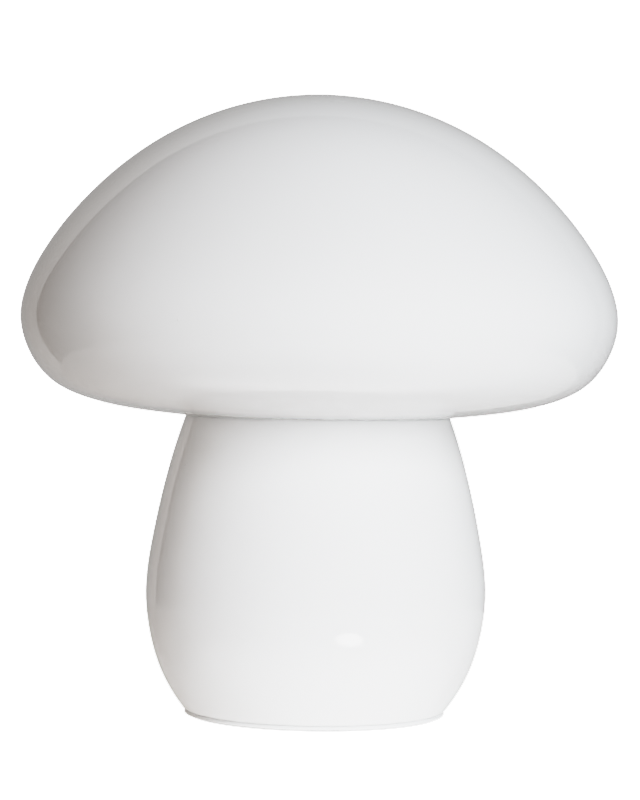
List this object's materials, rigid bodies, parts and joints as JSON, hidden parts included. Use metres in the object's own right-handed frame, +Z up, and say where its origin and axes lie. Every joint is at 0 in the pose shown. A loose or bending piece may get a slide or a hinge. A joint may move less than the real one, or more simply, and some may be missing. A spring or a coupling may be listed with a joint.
{
  "type": "mushroom table lamp",
  "caption": "Table lamp of white opal glass: a domed mushroom cap rests on a pear-shaped stem that hides a screw-in bulb and its lampholder.",
  "frame": {"origin": "on the table under the centre of the foot", "axes": "+Z up along the lamp's axis, -Y towards the front, +X to the right; the cord hole is at the back, on +Y"},
  "size_m": [0.3, 0.3, 0.312],
  "materials": {
    "opal_glass": "glossy, fire-polished opal white",
    "clear_silicone": "satin, translucent",
    "foot_foam": "matt",
    "white_steel": "powder coat, satin",
    "zinc_steel": "zinc plated",
    "holder_plastic": "moulded, satin",
    "holder_ceramic": "unglazed ceramic",
    "nickel_brass": "nickel plated, drawn",
    "contact_brass": "stamped",
    "bulb_glass": "clear, polished",
    "dark_glass": "fused black glass",
    "solder": "dull solder",
    "filament_phosphor": "phosphor coat"
  },
  "bodies": {
    "base": {"glass_stem": "opal_glass", "cap_rest_ring": "clear_silicone", "foot_pad": "foot_foam", "base_plate": "white_steel", "base_gasket": "clear_silicone", "centre_tube": "zinc_steel", "lower_washer": "zinc_steel", "lower_nut": "zinc_steel", "dome_locknut": "zinc_steel", "cord_grommet": "clear_silicone", "neck_gasket": "clear_silicone", "neck_spider": "white_steel", "upper_shade_ring": "holder_plastic", "lower_shade_ring": "holder_plastic", "holder_skirt": "holder_plastic", "holder_dome": "holder_plastic", "tube_set_screw": "zinc_steel", "holder_insert": "holder_ceramic", "terminal_blocks": "contact_brass", "terminal_screws": "zinc_steel", "screw_shell": "nickel_brass", "centre_contact": "contact_brass", "side_contact": "contact_brass"},
    "cap": {"glass_cap": "opal_glass"},
    "bulb_carriage": {"bulb_tip_contact": "solder"},
    "bulb": {"bulb_insulator": "dark_glass", "bulb_screw_cap": "nickel_brass", "bulb_envelope": "bulb_glass", "filament_mount": "bulb_glass", "led_filaments": "filament_phosphor", "filament_wires": "zinc_steel"}
  },
  "joints": [
    {"name": "cap_lift", "type": "slide", "parent": "base", "child": "cap", "axis": [0, 0, 1], "range_m": [0, 0.15]},
    {"name": "bulb_travel", "type": "slide", "parent": "base", "child": "bulb_carriage", "axis": [0, 0, 1], "range_m": [0, 0.0182]},
    {"name": "bulb_turn", "type": "hinge", "parent": "bulb_carriage", "child": "bulb", "pos_m": [0, 0, 0.1554], "axis": [0, 0, 1], "range_deg": [0, 1800]}
  ],
  "couplings": [
    {"joint": "bulb_travel", "follows": "bulb_turn", "m_per_rad": 0.00057757}
  ]
}
